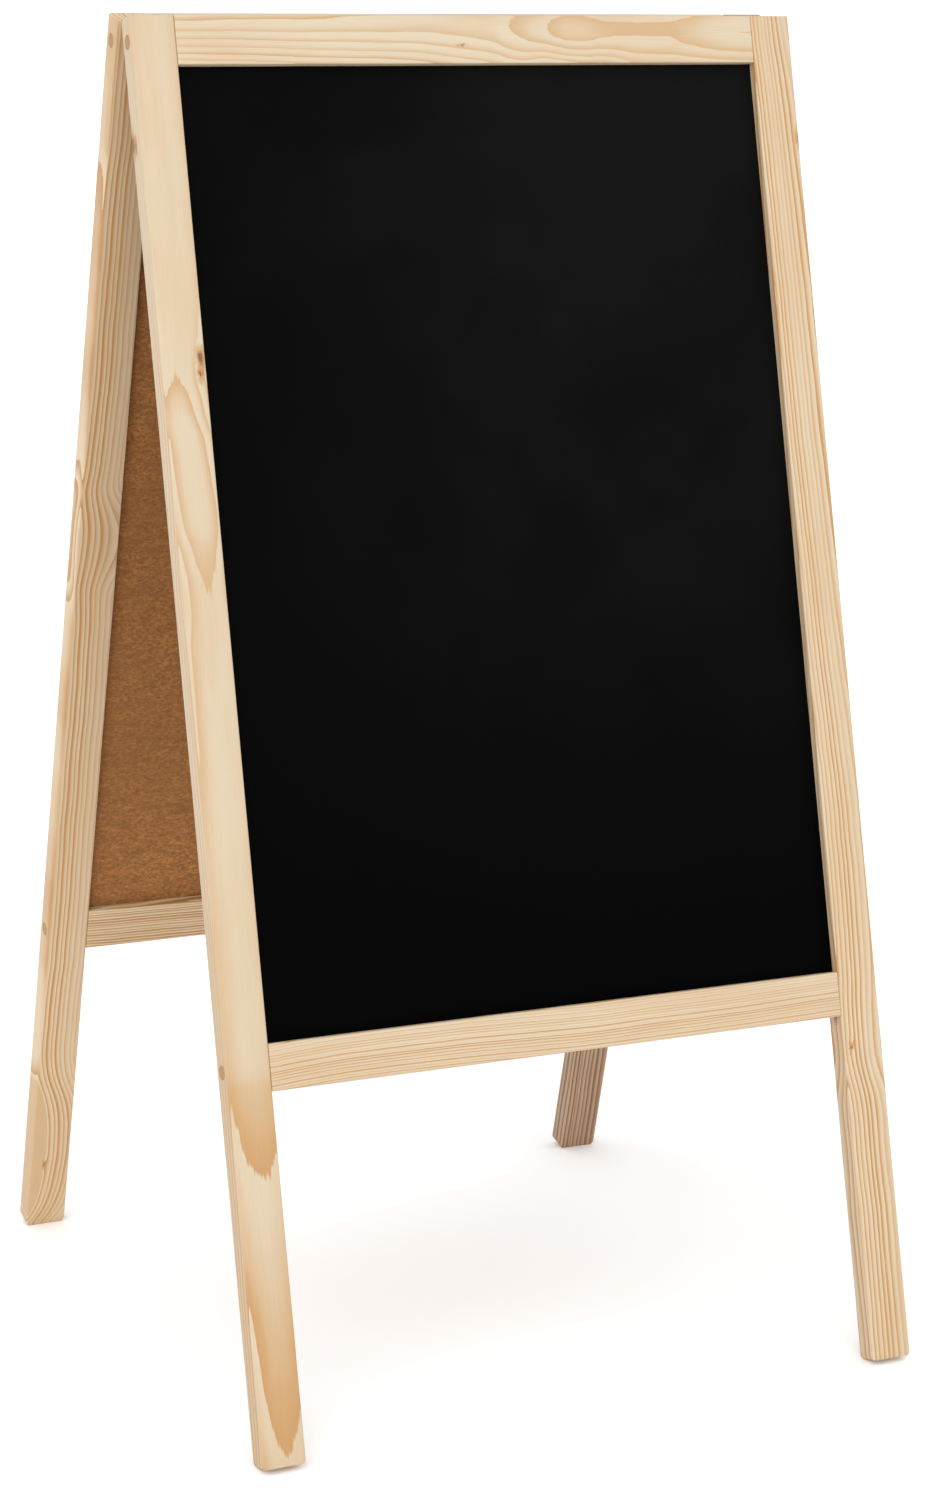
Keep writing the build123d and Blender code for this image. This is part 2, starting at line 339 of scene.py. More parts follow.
class Graph:
    """Short ways to add nodes to a node tree."""

    def __init__(self, tree):
        self.tree = tree

    def node(self, kind, inputs=(), **settings):
        """Adds a node; inputs maps a socket's name or index to a value or another socket."""
        made = self.tree.nodes.new(kind)
        for name, value in settings.items():
            setattr(made, name, value)
        self.feed(made, dict(inputs))
        return made

    def feed(self, made, inputs):
        """Gives a node's sockets their values, or links them to other sockets."""
        for key, value in inputs.items():
            if isinstance(value, bpy.types.NodeSocket):
                self.tree.links.new(value, made.inputs[key])
            else:
                made.inputs[key].default_value = value

    def math(self, operation, a, b=0.0, c=0.0):
        """A Math node's result."""
        return self.node("ShaderNodeMath", {0: a, 1: b, 2: c}, operation=operation).outputs[0]

    def add(self, a, b):
        """a + b"""
        return self.math("ADD", a, b)

    def subtract(self, a, b):
        """a - b"""
        return self.math("SUBTRACT", a, b)

    def times(self, a, b):
        """a * b"""
        return self.math("MULTIPLY", a, b)

    def ramp(self, value, stops):
        """A colour ramp of grey levels: stops are (place, level)."""
        made = self.node("ShaderNodeValToRGB", {0: value})
        elements = made.color_ramp.elements
        while len(elements) < len(stops):
            elements.new(0.5)
        for element, (place, level) in zip(elements, stops):
            element.position = place
            element.color = (level, level, level, 1.0)
        return made.outputs[0]

    def spread(self, value, from_low, from_high, to_low=0.0, to_high=1.0):
        """Maps a value from one range to another, smoothly and clamped."""
        inputs = {0: value, 1: from_low, 2: from_high, 3: to_low, 4: to_high}
        return self.node("ShaderNodeMapRange", inputs, interpolation_type="SMOOTHSTEP").outputs[0]

    def mix(self, share, a, b):
        """A colour between a and b: sockets 0, 6 and 7 are the factor and the two colours."""
        made = self.node("ShaderNodeMix", {0: share}, data_type="RGBA")
        for key, value in ((6, a), (7, b)):
            self.feed(made, {key: (*value, 1.0) if isinstance(value, tuple) else value})
        return made.outputs[2]

    def noise_node(self, point, scale, detail, roughness, distortion):
        """A noise texture; three scales, one for each axis, stretch it."""
        if isinstance(scale, tuple):
            point = self.scaled(point, scale)
            scale = 1.0
        inputs = {
            "Vector": point,
            "Scale": scale,
            "Detail": detail,
            "Roughness": roughness,
            "Distortion": distortion,
        }
        return self.node("ShaderNodeTexNoise", inputs)

    def noise(self, point, scale, detail=2.0, roughness=0.5, distortion=0.0):
        """A noise texture's value, from 0 to 1."""
        return self.noise_node(point, scale, detail, roughness, distortion).outputs[0]

    def tremble(self, point, scale, detail, reach):
        """A small random shift in all directions, about zero."""
        made = self.noise_node(point, scale, detail, 0.5, 0.0).outputs[1]
        return self.scaled(self.vector("SUBTRACT", made, (0.5, 0.5, 0.5)), reach)

    def vector(self, operation, a, b=(0.0, 0.0, 0.0)):
        """A Vector Math node's vector result."""
        return self.node("ShaderNodeVectorMath", {0: a, 1: b}, operation=operation).outputs[0]

    def scaled(self, vector, scale):
        """A vector times one number, or three."""
        factors = scale if isinstance(scale, tuple) else (scale,) * 3
        return self.vector("MULTIPLY", vector, factors)

    def group(self, name, inputs):
        """Adds a node group; gives its results by name."""
        made = self.tree.nodes.new("ShaderNodeGroup")
        made.node_tree = bpy.data.node_groups[name]
        self.feed(made, inputs)
        return made.outputs

    def split(self, vector):
        """The three parts of a vector."""
        return self.node("ShaderNodeSeparateXYZ", {0: vector}).outputs

    def join(self, x, y, z):
        """A vector from three parts."""
        return self.node("ShaderNodeCombineXYZ", {0: x, 1: y, 2: z}).outputs[0]


def tone(shade, factor):
    """A colour made darker or lighter."""
    return tuple(min(1.0, c * factor) for c in shade)


def between(one, other, share):
    """A colour part of the way from one to another."""
    return tuple(a + (b - a) * share for a, b in zip(one, other))


def new_material(name):
    """An empty node material and its graph."""
    material = bpy.data.materials.new(name)
    material.use_nodes = True
    material.node_tree.nodes.clear()
    return material, Graph(material.node_tree)


def finish_surface(graph, base, roughness, height, bump, gloss=0.5, metal=0.0):
    """Ends a material with a Principled shader and a bump; gloss and metal are plain numbers."""
    normal = graph.node("ShaderNodeBump", {"Height": height, "Distance": bump, "Strength": 1.0})
    inputs = {
        "Base Color": base,
        "Roughness": roughness,
        "Normal": normal.outputs[0],
        "Specular IOR Level": gloss,
        "Metallic": metal,
    }
    shader = graph.node("ShaderNodeBsdfPrincipled", inputs)
    graph.node("ShaderNodeOutputMaterial", {"Surface": shader.outputs[0]})


def grain_place(which, low, high, lengthwise):
    """World to a lath's own directions: across its face, into it, and along it from its low end."""
    if lengthwise == "Z":
        start = Vector(((low.x + high.x) / 2, (low.y + high.y) / 2, low.z))
        grain = Matrix.Identity(4)
    else:
        start = Vector((low.x, (low.y + high.y) / 2, (low.z + high.z) / 2))
        grain = Matrix(((0, 0, -1, 0), (0, 1, 0, 0), (1, 0, 0, 0), (0, 0, 0, 1)))
    return grain @ Matrix.Translation(-start) @ to_upright(which)


def mapped(graph, place):
    """Object coordinates moved and turned by a matrix."""
    coordinates = graph.node("ShaderNodeTexCoord").outputs["Object"]
    inputs = {
        "Vector": coordinates,
        "Location": place.to_translation(),
        "Rotation": place.to_euler("XYZ"),
    }
    return graph.node("ShaderNodeMapping", inputs, vector_type="POINT").outputs[0]


# ---- pine --------------------------------------------------------------------------------

NO_LIMIT = 1000.0  # more years than any lath here is from its pith


class Figure:
    """How one lath lay in its tree: sizes in millimetres, places along it from its top or left end.

    ring is the width of a year. crest is how many years lie between the pith and the lath's front
    face, and middle is where the pith lies across that face. tight, above 1, narrows the figure
    across the face. late is how strongly the late wood shows, and thin, above 1, draws it as finer
    lines. All of these but ring are one number or (place, value) pairs, as a tree isn't straight.

    uneven is how much the years differ, and wander how far the pith strays to the sides. Wood more
    than limit years from the pith is plain. A knot is (across, into, place, radius). tint mixes tan
    into the pale wood, warm mixes heartwood into all of it, shade multiplies every colour but the
    knots', and deep only the tan and the ring's edge. seed sets the lath apart from the others.
    """

    def __init__(
        self, ring, crest, middle, seed, tight=1.0, late=1.0, thin=1.0, uneven=0.0,
        limit=NO_LIMIT, wander=0.0, knots=(), tint=0.0, warm=0.0, shade=1.0, deep=1.0,
    ):
        self.ring = ring
        self.crest = crest
        self.middle = middle
        self.seed = seed
        self.tight = tight
        self.late = late
        self.thin = thin
        self.uneven = uneven
        self.limit = limit
        self.wander = wander
        self.knots = knots
        self.tint = tint
        self.warm = warm
        self.shade = shade
        self.deep = deep


FIGURES = {
    "front_left_stile": Figure(
        ring=5.6,
        crest=(
            (0, 11.28), (250, 11.15), (298, 11.0), (306, 10.80), (322, 10.52), (345, 10.24),
            (400, 10.13), (430, 10.50), (450, 10.80), (468, 11.0), (530, 11.13), (700, 11.14),
            (800, 11.15), (850, 11.22), (872, 11.52), (900, 11.70), (925, 11.86), (945, 12.0),
            (1000, 12.24), (1060, 12.48), (1100, 12.62), (1150, 12.85), (1172, 13.0), (1180, 13.05),
        ),
        middle=(
            (0, 0), (200, -2), (300, -8), (345, -3), (400, 1), (460, 4), (590, 7), (700, 2), (900, 4),
            (1180, 4),
        ),
        seed=3.1,
        tight=(
            (0, 1.0), (240, 1.1), (300, 1.5), (450, 1.55), (520, 1.1), (700, 1.0), (850, 0.8),
            (940, 0.75), (1060, 1.0), (1180, 1.1),
        ),
        late=(
            (0, 0.35), (260, 0.42), (320, 0.75), (450, 0.60), (640, 0.60), (800, 0.66), (890, 0.82),
            (1000, 0.86), (1180, 0.94),
        ),
        thin=((0, 1.2), (300, 1.5), (450, 0.9), (640, 0.9), (800, 0.55), (1180, 0.50)),
        wander=0.4,
        knots=((15, -11, 280, 2.4), (14, -11, 293, 1.8), (-19, 8, 102, 3.2), (-19, 2, 104, 2.2)),
        tint=0.05,
    ),
    "front_right_stile": Figure(
        ring=3.2,
        crest=(
            (0, 5.8), (100, 7.5), (300, 8.3), (450, 8.9), (800, 10.8), (905, 10.5), (960, 11.2),
            (1180, 11.5),
        ),
        middle=((0, 27), (300, 29), (800, 33), (905, 29), (970, 33), (1180, 32)),
        seed=7.7,
        late=((0, 1.5), (500, 1.4), (850, 1.8), (1180, 1.9)),
        thin=((0, 1.15), (1180, 1.1)),
        uneven=0.8,
        wander=1.2,
        knots=((-12, -11, 904, 1.4), (19, -11, 108, 2.6), (18, 0, 112, 2.0)),
        tint=0.04,
    ),
    "front_top_rail": Figure(
        ring=4.0,
        crest=(
            (0, 10.95), (167, 11.7), (267, 12.5), (295, 12.0), (333, 11.0), (345, 10.66),
            (362, 10.42), (385, 10.68), (405, 10.84), (445, 10.86), (470, 10.62), (522, 10.0),
            (534, 9.97),
        ),
        middle=((0, -35), (167, -28), (267, -15), (295, -12.5), (333, -10), (417, -7.5), (534, -7)),
        seed=12.3,
        tight=((0, 1.0), (300, 1.0), (340, 1.3), (380, 1.3), (430, 1.0), (534, 1.0)),
        late=((0, 1.05), (240, 0.85), (300, 0.68), (420, 0.66), (534, 0.72)),
        thin=((0, 2.4), (230, 2.0), (310, 1.0), (430, 0.9), (534, 1.2)),
        uneven=0.3,
        wander=0.8,
        knots=((5, -11, 254, 0.8),),
    ),
    "front_bottom_rail": Figure(
        ring=2.1,
        crest=((0, 12.0), (117, 12.6), (300, 12.2), (534, 12.2)),
        middle=((0, 93), (120, 89), (330, 93), (534, 91)),
        seed=18.9,
        late=((0, 1.6), (534, 1.4)),
        thin=1.1,
        uneven=0.9,
        wander=0.7,
    ),
    "rear_left_stile": Figure(
        ring=4.2,
        crest=((0, 3.7), (390, 3.7), (462, 9.3), (535, 4.1), (990, 3.7), (1085, 5.5), (1180, 3.7)),
        middle=(
            (0, 50), (390, 44), (462, 34), (535, 44), (700, 46), (980, 45), (1090, 60), (1180, 42),
        ),
        seed=23.4,
        late=((0, 1.9), (500, 2.0), (1180, 1.9)),
        thin=1.15,
        uneven=0.9,
        limit=16.50,
        wander=1.6,
        knots=((-6, -11, 1111, 1.2),),
        tint=0.27,
        shade=1.15,
        deep=0.90,
    ),
    "rear_right_stile": Figure(
        ring=2.9,
        crest=((0, 9.0), (600, 10.0), (1180, 11.5)),
        middle=((0, 36), (1180, 30)),
        seed=31.2,
        late=((0, 1.8), (1180, 2.2)),
        thin=1.1,
        uneven=1.0,
        wander=1.5,
        warm=0.55,
        shade=1.04,
        deep=0.52,
    ),
    "rear_top_rail": Figure(
        ring=2.6,
        crest=((0, 9.0), (250, 10.0), (534, 9.2)),
        middle=((0, 70), (534, 66)),
        seed=37.5,
        late=0.6,
        uneven=1.0,
        wander=1.0,
    ),
    "rear_bottom_rail": Figure(
        ring=2.5,
        crest=((0, 9.0), (100, 9.6), (534, 9.0)),
        middle=((0, 56), (534, 60)),
        seed=44.8,
        late=((0, 2.6), (534, 2.5)),
        uneven=1.0,
        wander=1.0,
        tint=0.30,
        shade=1.24,
        deep=0.70,
    ),
}

# Share of a year and how dark the wood is there: it darkens slowly and then stops at once.
YEAR = (
    (0.0, 0.0), (0.20, 0.02), (0.40, 0.16), (0.58, 0.42), (0.78, 0.72), (0.93, 0.92),
    (0.975, 1.0), (1.0, 0.0),
)


def curve_along(graph, share, length_mm, points):
    """One number as it is, or a smooth curve through (place, value) points along a lath."""
    if isinstance(points, (int, float)):
        return points
    values = [value for _, value in points]
    low, high = min(values), max(values)
    made = graph.node("ShaderNodeFloatCurve", {"Factor": 1.0, "Value": share})
    line = made.mapping.curves[0]
    for place, value in points[1:-1]:
        line.points.new(place / length_mm, (value - low) / (high - low))
    ends = (line.points[0], points[0]), (line.points[len(line.points) - 1], points[-1])
    for end, (place, value) in ends:
        end.location = (place / length_mm, (value - low) / (high - low))
    for point in line.points:
        point.handle_type = "AUTO_CLAMPED"
    made.mapping.update()
    return graph.math("MULTIPLY_ADD", made.outputs[0], high - low, low)


def pine_years():
    """Node group: a point's place from the pith gives its late wood, and its fibres."""
    tree = bpy.data.node_groups.new("pine years", "ShaderNodeTree")
    face = tree.interface
    face.new_socket("Point", in_out="INPUT", socket_type="NodeSocketVector")
    for name in ("Across", "Into", "Ring", "Uneven", "Limit", "Seed"):
        face.new_socket(name, in_out="INPUT", socket_type="NodeSocketFloat")
    face.new_socket("Late", in_out="OUTPUT", socket_type="NodeSocketFloat")
    face.new_socket("Fibre", in_out="OUTPUT", socket_type="NodeSocketFloat")
    graph = Graph(tree)
    inlet = graph.node("NodeGroupInput").outputs
    seed = graph.join(inlet["Seed"], inlet["Seed"], inlet["Seed"])
    slow = graph.vector("ADD", graph.scaled(inlet["Point"], (45.0, 45.0, 8.0)), seed)
    ragged = graph.vector("ADD", graph.scaled(inlet["Point"], (520.0, 520.0, 30.0)), seed)
    slow_shift = graph.tremble(slow, 1.0, 2.0, 1.6 * MM)
    ragged_shift = graph.tremble(ragged, 1.0, 3.0, 0.7 * MM)
    shift_across, shift_into, _ = graph.split(graph.vector("ADD", slow_shift, ragged_shift))
    across = graph.add(inlet["Across"], shift_across)
    into = graph.add(inlet["Into"], shift_into)
    reach = graph.math("SQRT", graph.add(graph.times(across, across), graph.times(into, into)))
    years = graph.math("DIVIDE", reach, inlet["Ring"])
    years = graph.math("MINIMUM", years, inlet["Limit"])
    # Years differ in width and in how dark their late wood is.
    fat_years = graph.noise(graph.join(graph.times(years, 0.55), inlet["Seed"], 0.0), 1.0, 1.0)
    years = graph.add(years, graph.times(graph.times(graph.subtract(fat_years, 0.5), 0.9), inlet["Uneven"]))
    share = graph.math("FRACT", years)
    number = graph.math("FLOOR", years)
    year_point = graph.join(number, inlet["Seed"], 0.0)
    chance = graph.node("ShaderNodeTexWhiteNoise", {"Vector": year_point}, noise_dimensions="3D").outputs[0]
    darkness = graph.subtract(1.0, graph.times(graph.times(chance, 0.80), inlet["Uneven"]))
    late = graph.times(graph.ramp(share, YEAR), darkness)
    fibre_point = graph.vector("ADD", graph.scaled(inlet["Point"], (1300.0, 1300.0, 24.0)), seed)
    fibre = graph.noise(fibre_point, 1.0, 3.0, 0.6)
    graph.node("NodeGroupOutput", {"Late": late, "Fibre": fibre})


def knot_spot(graph, point, wobble, knot, core, rim):
    """How near a point is to a knot's middle: 1 within core radii of it, 0 beyond rim radii."""
    across, into, along_lath, radius = knot
    offset = graph.vector("SUBTRACT", point, (across * MM, into * MM, along_lath * MM))
    offset = graph.vector("ADD", graph.scaled(offset, (1.0, 1.0, 0.4)), wobble)
    away = graph.node("ShaderNodeVectorMath", {0: offset}, operation="LENGTH").outputs["Value"]
    return graph.spread(away, radius * MM * core, radius * MM * rim, 1.0, 0.0)


def pine(name, place, length_mm, colours, figure, from_top):
    """Planed and lacquered pine for one lath."""
    material, graph = new_material(name)
    point = mapped(graph, place)
    across, into, along_lath = graph.split(point)
    share = graph.math("DIVIDE", along_lath, length_mm * MM)
    if from_top:
        share = graph.subtract(1.0, share)
    crest = curve_along(graph, share, length_mm, figure.crest)
    pith = curve_along(graph, share, length_mm, figure.middle)
    late_share = curve_along(graph, share, length_mm, figure.late)
    thin = curve_along(graph, share, length_mm, figure.thin)
    wander_point = graph.join(figure.seed, 0.0, graph.times(along_lath, 9.0))
    wander = graph.subtract(graph.noise(wander_point, 1.0), 0.5)
    from_pith = graph.subtract(across, graph.times(pith, MM))
    from_pith = graph.add(from_pith, graph.times(wander, figure.wander * 4 * MM))
    from_pith = graph.times(from_pith, curve_along(graph, share, length_mm, figure.tight))
    depth = graph.times(crest, figure.ring * MM)
    depth = graph.subtract(depth, graph.add(into, LATH_HALF))
    wobble = graph.tremble(point, (420.0, 420.0, 260.0), 3.0, 5 * MM)
    spots = []
    for knot in figure.knots:
        turned = (*knot[:2], length_mm - knot[2] if from_top else knot[2], knot[3])
        parted = graph.times(knot_spot(graph, point, wobble, turned, 0.5, 4.0), 1.2 * MM)
        from_pith = graph.add(from_pith, parted)
        halo = knot_spot(graph, point, wobble, turned, 0.8, 2.4)
        spots.append((knot_spot(graph, point, wobble, turned, 0.45, 1.0), halo))
    inputs = {
        "Point": point,
        "Across": from_pith,
        "Into": depth,
        "Ring": figure.ring * MM,
        "Uneven": figure.uneven,
        "Limit": figure.limit,
        "Seed": figure.seed,
    }
    years = graph.group("pine years", inputs)
    late = graph.times(graph.math("POWER", years["Late"], thin), late_share)
    fibre = years["Fibre"]
    pale, tan, edge = (
        tone(between(shade, colours.heartwood, figure.warm), figure.shade)
        for shade in (colours.sapwood, colours.latewood, colours.ring_edge)
    )
    pale = between(pale, tan, figure.tint)
    tan = tone(tan, figure.deep)
    edge = tone(edge, figure.deep)
    base = graph.mix(graph.math("MINIMUM", graph.times(late, 1.35), 1.0), pale, tan)
    base = graph.mix(graph.spread(late, 0.60, 1.05, 0.0, 0.9), base, edge)
    cloud = graph.noise(point, (34.0, 34.0, 5.0))
    base = graph.mix(graph.spread(cloud, 0.35, 0.75, 0.0, 0.30), base, tan)
    base = graph.mix(graph.spread(fibre, 0.48, 0.72, 0.0, 0.20), base, tan)
    base = graph.mix(graph.spread(fibre, 0.30, 0.44, 0.16, 0.0), base, tone(pale, 1.12))
    for spot, halo in spots:
        base = graph.mix(graph.times(halo, 0.75), base, edge)
        base = graph.mix(graph.times(spot, 0.9), base, tuple(colours.knot))
    roughness = graph.spread(fibre, 0.2, 0.8, 0.42, 0.54)
    height = graph.add(graph.times(late, 0.35), graph.times(fibre, 0.3))
    finish_surface(graph, base, roughness, height, 0.12 * MM, gloss=0.4)
    return material


# ---- other finishes ----------------------------------------------------------------------

def chalk_paint(colours):
    """Matt black paint with a fine tooth, and a painted sheen that lightens it high up and to the right."""
    material, graph = new_material("chalk paint")
    point = graph.node("ShaderNodeTexCoord").outputs["Object"]
    tooth = graph.noise(point, 1400.0, 3.0, 0.6)
    cloud = graph.noise(point, 7.0, 3.0)
    black = tuple(colours.chalk_paint)
    x, _, z = graph.split(point)
    # Painted sheen: the black is lightened high up and towards the right, a painted reflection of the
    # light.
    painted_sheen = graph.times(graph.spread(z, 0.30, 0.95), graph.spread(x, -0.40, 0.10, 0.15, 1.0))
    base = graph.mix(painted_sheen, black, tone(black, 9.0))
    base = graph.mix(graph.spread(cloud, 0.35, 0.7, 0.0, 0.5), base, tone(black, 2.2))
    base = graph.mix(graph.spread(tooth, 0.6, 0.8, 0.0, 0.4), base, tone(black, 7))
    roughness = graph.spread(cloud, 0.3, 0.7, 0.50, 0.58)
    finish_surface(graph, base, roughness, tooth, 0.06 * MM, gloss=0.015)
    return material


def bare_hardboard(colours):
    """The fibrous back of a hardboard panel."""
    material, graph = new_material("bare hardboard")
    point = graph.node("ShaderNodeTexCoord").outputs["Object"]
    fibres = graph.noise(point, (260.0, 420.0, 460.0), 4.0, 0.75, 0.3)
    flecks = graph.noise(point, 1600.0, 2.0, 0.6)
    cloud = graph.noise(point, 9.0, 4.0, 0.6)
    brown = tuple(colours.hardboard)
    felted = graph.noise(point, (45.0, 90.0, 190.0), 6.0, 0.75, 0.5)
    base = graph.mix(graph.spread(fibres, 0.3, 0.7), tone(brown, 0.48), tone(brown, 1.62))
    base = graph.mix(graph.spread(felted, 0.38, 0.62, 0.0, 0.50), base, tone(brown, 0.55))
    base = graph.mix(graph.spread(cloud, 0.3, 0.75, 0.0, 0.45), base, tone(brown, 0.7))
    base = graph.mix(graph.spread(flecks, 0.62, 0.8, 0.0, 0.5), base, tone(brown, 1.9))
    roughness = graph.spread(fibres, 0.2, 0.8, 0.72, 0.88)
    height = graph.add(fibres, graph.times(flecks, 0.5))
    finish_surface(graph, base, roughness, height, 0.07 * MM, gloss=0.25)
    return material


def dowel_wood(colours):
    """Beech dowel, its end grain darkened by glue and lacquer."""
    material, graph = new_material("dowel wood")
    point = graph.node("ShaderNodeTexCoord").outputs["Object"]
    pores = graph.noise(point, 2600.0, 2.0, 0.7)
    rings = graph.noise(graph.scaled(point, (1.0, 1.0, 3.0)), 420.0, 2.0)
    brown = tuple(colours.dowel)
    base = graph.mix(graph.spread(rings, 0.35, 0.7), brown, tone(brown, 1.2))
    base = graph.mix(graph.spread(pores, 0.55, 0.75, 0.0, 0.6), base, tone(brown, 0.6))
    roughness = graph.spread(pores, 0.3, 0.7, 0.55, 0.7)
    finish_surface(graph, base, roughness, pores, 0.1 * MM, gloss=0.35)
    return material


def plated_steel(name, colours, shade, roughness_low):
    """Zinc-plated steel with fine rolling marks."""
    material, graph = new_material(name)
    point = graph.node("ShaderNodeTexCoord").outputs["Object"]
    marks = graph.noise(point, (60.0, 2400.0, 2400.0))
    bloom = graph.noise(point, 180.0, 3.0)
    zinc = tone(colours.zinc, shade)
    base = graph.mix(graph.spread(bloom, 0.35, 0.7), zinc, tone(zinc, 0.78))
    roughness = graph.spread(marks, 0.3, 0.7, roughness_low, roughness_low + 0.14)
    finish_surface(graph, base, roughness, marks, 0.02 * MM, metal=1.0)
    return material


# ---- laths and dowels --------------------------------------------------------------------

def bore_for_dowels(scene, piece, which):
    """Bores a lath wherever a dowel of its frame goes through it."""
    dowels = scene.board_dowels
    for level in ("top", "bottom"):
        low, high = upright_box(f"{which}_{level}_dowels", which)
        radius = (high.z - low.z) / 2 + dowels.gap
        wood_low, wood_high = corners_of([v.co for v in piece.data.vertices])
        y = (low.y + high.y) / 2
        z = (low.z + high.z) / 2
        if not wood_low.z < z < wood_high.z:
            continue
        for side in (-1.0, 1.0):
            outer = side * (high.x + 2 * PAST)
            inner = side * (high.x - dowel_length(which, level) - PAST)
            if max(outer, inner) < wood_low.x or min(outer, inner) > wood_high.x:
                continue
            bore = rod("bore", radius, outer, inner, y, z, dowels.sides)
            cut(piece, bore)


def dowel_length(which, level):
    """Length of one dowel of a pair."""
    turn = to_upright(which)
    xs = [(turn @ v.co).x for v in frame["nodes"][f"{which}_{level}_dowels"].data.vertices]
    return max(xs) - min(x for x in xs if x > 0)


def finish_lath(scene, piece, which, name, low, high, lengthwise):
    """Bores a shaped lath, gives it its wood and hands it over in place of the node called name."""
    bore_for_dowels(scene, piece, which)
    tidy_cuts(piece)
    smooth(piece)
    stand(piece, which)
    place = grain_place(which, low, high, lengthwise)
    upright = lengthwise == "Z"
    run = (high.z - low.z if upright else high.x - low.x) / MM
    wood = "pine " + name.replace("_", " ")
    piece.data.materials.append(pine(wood, place, run, scene.board_finishes, FIGURES[name], upright))
    settle(piece, which, name)


# ---- operators ---------------------------------------------------------------------------

class BOARD_OT_stiles(bpy.types.Operator):
    """Add the four stiles, grooved for the panels and bored for the dowels"""

    bl_idname = "board.stiles"
    bl_label = "Stiles"
    bl_options = {"REGISTER", "UNDO"}

    def execute(self, context):
        for which in FRAMES:
            for hand in ("left", "right"):
                self.make(context.scene, which, hand)
        return {"FINISHED"}

    def make(self, scene, which, hand):
        """Shapes one stile upright, and stands it in its place."""
        laths = scene.board_laths
        name = f"{which}_{hand}_stile"
        low, high = upright_box(name, which)
        piece = box(f"{name}_pine", low, high)
        half_way = (low.z + high.z) / 2

        def foot(edge):
            return along(edge, 1) and middle(edge).z < half_way

        def arris(edge):
            broad = any(abs(face.normal.y) > IN_LINE for face in edge.link_faces)
            at_top = along(edge, 1) and middle(edge).z > high.z - MM
            return broad or at_top

        round_edges(piece, foot, laths.foot, segments=6)
        round_edges(piece, arris, laths.arris, segments=4)
        cross_cuts(piece, 2, low.z, high.z, laths.stations)
        sand(piece, laths.wear * STILE_SANDING)
        self.cut_groove(scene, piece, which, low, high)
        finish_lath(scene, piece, which, name, low, high, "Z")

    def cut_groove(self, scene, piece, which, low, high):
        """Saws the panel groove; the blade leaves round ends."""
        laths = scene.board_laths
        panel_low, panel_high = upright_box(f"{which}_chalkboard", which)
        rail_low, _ = upright_box(f"{which}_bottom_rail", which)
        side = 1.0 if low.x > 0 else -1.0
        face = low.x if side > 0 else high.x
        deep = face + side * laths.groove_depth
        chord = math.sqrt(laths.saw_radius**2 - (laths.saw_radius - laths.groove_depth) ** 2)
        y0 = panel_low.y - laths.groove_gap
        y1 = panel_high.y + laths.groove_gap
        z0 = rail_low.z - laths.runout + chord
        z1 = panel_high.z + laths.groove_gap
        open_x = face - side * PAST
        lows = Vector((min(open_x, deep), y0, z0))
        highs = Vector((max(open_x, deep), y1, z1))
        cut(piece, box("groove", lows, highs))
        for z in (z0, z1):
            bpy.ops.object.select_all(action="DESELECT")
            bpy.ops.mesh.primitive_cylinder_add(
                vertices=BLADE_SIDES,
                radius=laths.saw_radius,
                depth=y1 - y0,
                location=(deep - side * laths.saw_radius, (y0 + y1) / 2, z),
                rotation=(math.pi / 2, 0.0, 0.0),
            )
            cut(piece, bpy.context.active_object)


class BOARD_OT_rails(bpy.types.Operator):
    """Add the four rails, grooved for the panels and bored for the dowels"""

    bl_idname = "board.rails"
    bl_label = "Rails"
    bl_options = {"REGISTER", "UNDO"}

    def execute(self, context):
        for which in FRAMES:
            for level in ("top", "bottom"):
                self.make(context.scene, which, level)
        return {"FINISHED"}

    def make(self, scene, which, level):
        """Shapes one rail between its frame's stiles."""
        laths = scene.board_laths
        name = f"{which}_{level}_rail"
        low, high = upright_box(name, which)
        piece = box(f"{name}_pine", low, high)
        round_edges(piece, lambda e: along(e, 0), laths.arris, segments=4)
        round_edges(piece, lambda e: abs(middle(e).x) > high.x - 0.1 * MM, laths.rail_end, segments=3)
        cross_cuts(piece, 0, low.x, high.x, laths.stations // 2)
        sand(piece, laths.wear * RAIL_SANDING)
        panel_low, panel_high = upright_box(f"{which}_chalkboard", which)
        if level == "top":
            z0, z1 = low.z - PAST, low.z + laths.groove_depth
        else:
            z0, z1 = high.z - laths.groove_depth, high.z + PAST
        lows = Vector((low.x - PAST, panel_low.y - laths.groove_gap, z0))
        highs = Vector((high.x + PAST, panel_high.y + laths.groove_gap, z1))
        cut(piece, box("groove", lows, highs))
        finish_lath(scene, piece, which, name, low, high, "X")


class BOARD_OT_chalkboards(bpy.types.Operator):
    """Add the two chalkboard panels, painted outside and bare inside"""

    bl_idname = "board.chalkboards"
    bl_label = "Chalkboards"
    bl_options = {"REGISTER", "UNDO"}

    def execute(self, context):
        scene = context.scene
        paint = chalk_paint(scene.board_finishes)
        bare = bare_hardboard(scene.board_finishes)
        for which in FRAMES:
            self.make(scene, which, paint, bare)
        return {"FINISHED"}

    def make(self, scene, which, paint, bare):
        """Makes one panel, its outer face painted."""
        panels = scene.board_panels
        name = f"{which}_chalkboard"
        low, high = upright_box(name, which)
        piece = box(f"{name}_panel", low, high)
        round_edges(piece, lambda e: True, panels.edge, segments=2)
        cross_cuts(piece, 0, low.x, high.x, panels.cells)
        cross_cuts(piece, 2, low.z, high.z, panels.cells)
        smooth(piece)
        stand(piece, which)
        outward = to_upright(which).inverted().to_3x3() @ Vector((0, -1 if which == "front" else 1, 0))
        piece.data.materials.append(bare)
        piece.data.materials.append(paint)
        for face in piece.data.polygons:
            face.material_index = 1 if face.normal.dot(outward) > 0.5 else 0
        settle(piece, which, name)


